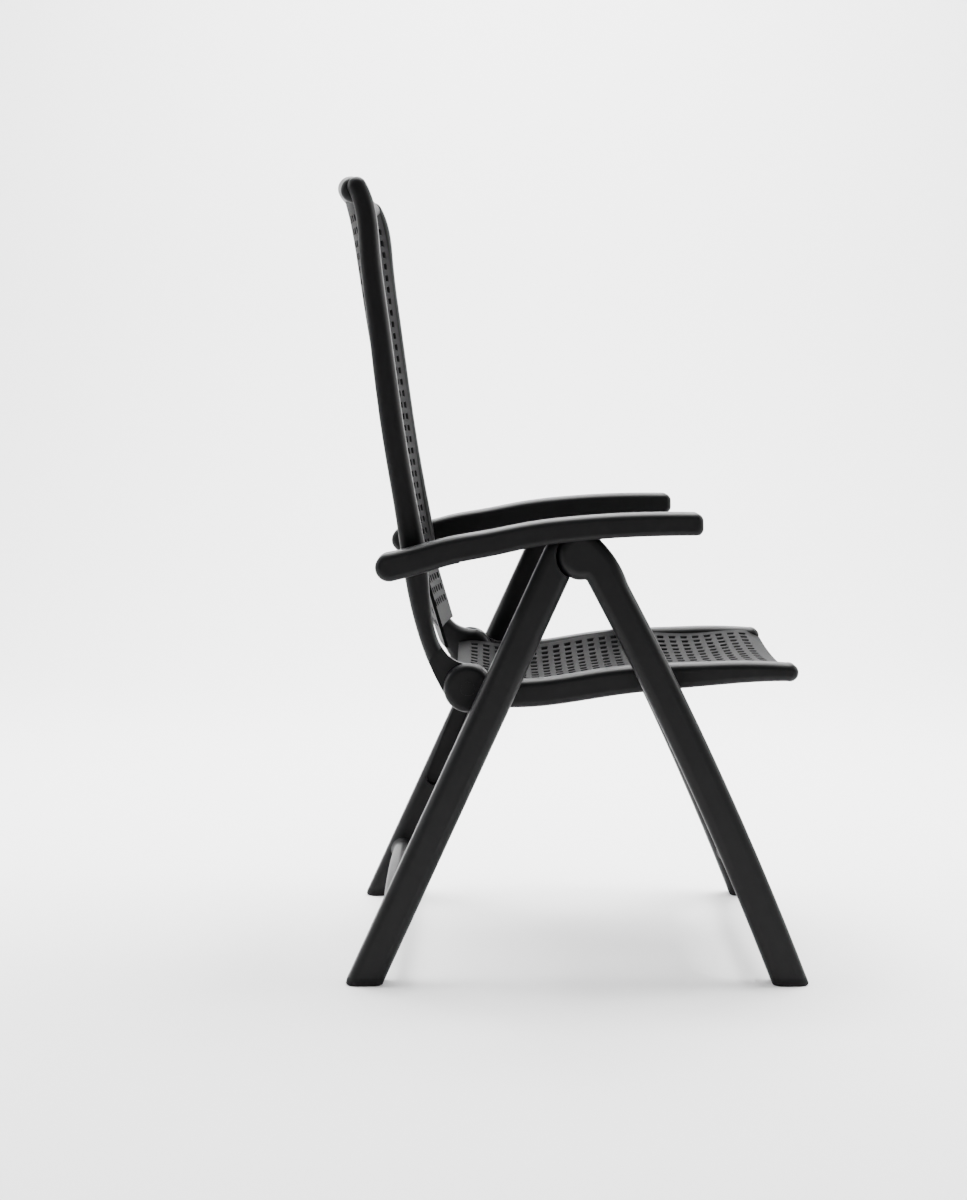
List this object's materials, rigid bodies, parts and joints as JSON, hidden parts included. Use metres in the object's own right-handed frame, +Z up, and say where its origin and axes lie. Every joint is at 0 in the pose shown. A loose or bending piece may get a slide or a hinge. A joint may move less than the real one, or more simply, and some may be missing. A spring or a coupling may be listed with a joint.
{
  "type": "reclining garden armchair",
  "caption": "Folding garden armchair in dark resin with a perforated seat and high back, long curved arms and a reclining back.",
  "frame": {"origin": "on the floor, under the middle of the chair's overall box", "axes": "+Z up, front of the chair towards -Y, +X across the chair towards the sitter's left"},
  "size_m": [0.613, 0.653, 1.1145],
  "materials": {
    "resin": "matte",
    "steel": "brushed",
    "slider": "satin",
    "foot": "matte"
  },
  "bodies": {
    "front_frame": {"left_front_leg": "resin", "right_front_leg": "resin", "front_crossbar": "resin", "left_front_foot": "foot", "right_front_foot": "foot", "left_apex_pin": "steel", "right_apex_pin": "steel", "left_lock_pin": "steel", "right_lock_pin": "steel", "left_seat_pivot_pin": "steel", "right_seat_pivot_pin": "steel", "left_seat_spacer": "slider", "right_seat_spacer": "slider"},
    "rear_frame": {"left_rear_leg": "resin", "right_rear_leg": "resin", "rear_crossbar": "resin", "left_rear_foot": "foot", "right_rear_foot": "foot"},
    "seat": {"left_seat_rail": "resin", "right_seat_rail": "resin", "seat_panel": "resin", "rear_seat_rib": "resin", "front_seat_rib": "resin", "left_slide_pin": "steel", "right_slide_pin": "steel", "left_slide_roller": "slider", "right_slide_roller": "slider"},
    "hinge_pins": {"left_hinge_pin": "resin", "right_hinge_pin": "resin"},
    "back": {"left_back_rail": "resin", "right_back_rail": "resin", "back_panel": "resin", "back_top_roll": "resin"},
    "left_arm_pin": {"left_arm_pin": "steel", "left_arm_washer": "slider"},
    "right_arm_pin": {"right_arm_pin": "steel", "right_arm_washer": "slider"},
    "left_arm": {"left_arm": "resin", "left_arm_rack": "resin"},
    "right_arm": {"right_arm": "resin", "right_arm_rack": "resin"}
  },
  "joints": [
    {"name": "fold", "type": "hinge", "parent": "front_frame", "child": "rear_frame", "pos_m": [0, -0.02, 0.586], "axis": [-1, 0, 0], "range_deg": [0, 37.5]},
    {"name": "seat_swing", "type": "hinge", "parent": "front_frame", "child": "seat", "pos_m": [0, -0.128, 0.406], "axis": [-1, 0, 0], "range_deg": [0, 76.88]},
    {"name": "hinge_turn", "type": "hinge", "parent": "seat", "child": "hinge_pins", "pos_m": [0, 0.133, 0.4], "axis": [-1, 0, 0], "range_deg": [-69, 0]},
    {"name": "recline", "type": "hinge", "parent": "hinge_pins", "child": "back", "pos_m": [0, 0.133, 0.4], "axis": [-1, 0, 0], "range_deg": [0, 37]},
    {"name": "left_arm_fold", "type": "hinge", "parent": "back", "child": "left_arm_pin", "pos_m": [0, 0.204, 0.579], "axis": [-1, 0, 0], "range_deg": [0, 88.12]},
    {"name": "right_arm_fold", "type": "hinge", "parent": "back", "child": "right_arm_pin", "pos_m": [0, 0.204, 0.579], "axis": [-1, 0, 0], "range_deg": [0, 88.12]},
    {"name": "left_arm_tilt", "type": "hinge", "parent": "left_arm_pin", "child": "left_arm", "pos_m": [0, 0.204, 0.579], "axis": [-1, 0, 0], "range_deg": [-24.05, 0]},
    {"name": "right_arm_tilt", "type": "hinge", "parent": "right_arm_pin", "child": "right_arm", "pos_m": [0, 0.204, 0.579], "axis": [-1, 0, 0], "range_deg": [-24.05, 0]}
  ],
  "couplings": [
    {"joint": "seat_swing", "follows": "fold", "ratio": 2.05},
    {"joint": "hinge_turn", "follows": "fold", "ratio": -1.84},
    {"joint": "left_arm_fold", "follows": "fold", "ratio": 2.35},
    {"joint": "right_arm_fold", "follows": "fold", "ratio": 2.35},
    {"joint": "left_arm_tilt", "follows": "recline", "ratio": -0.65},
    {"joint": "right_arm_tilt", "follows": "recline", "ratio": -0.65}
  ]
}
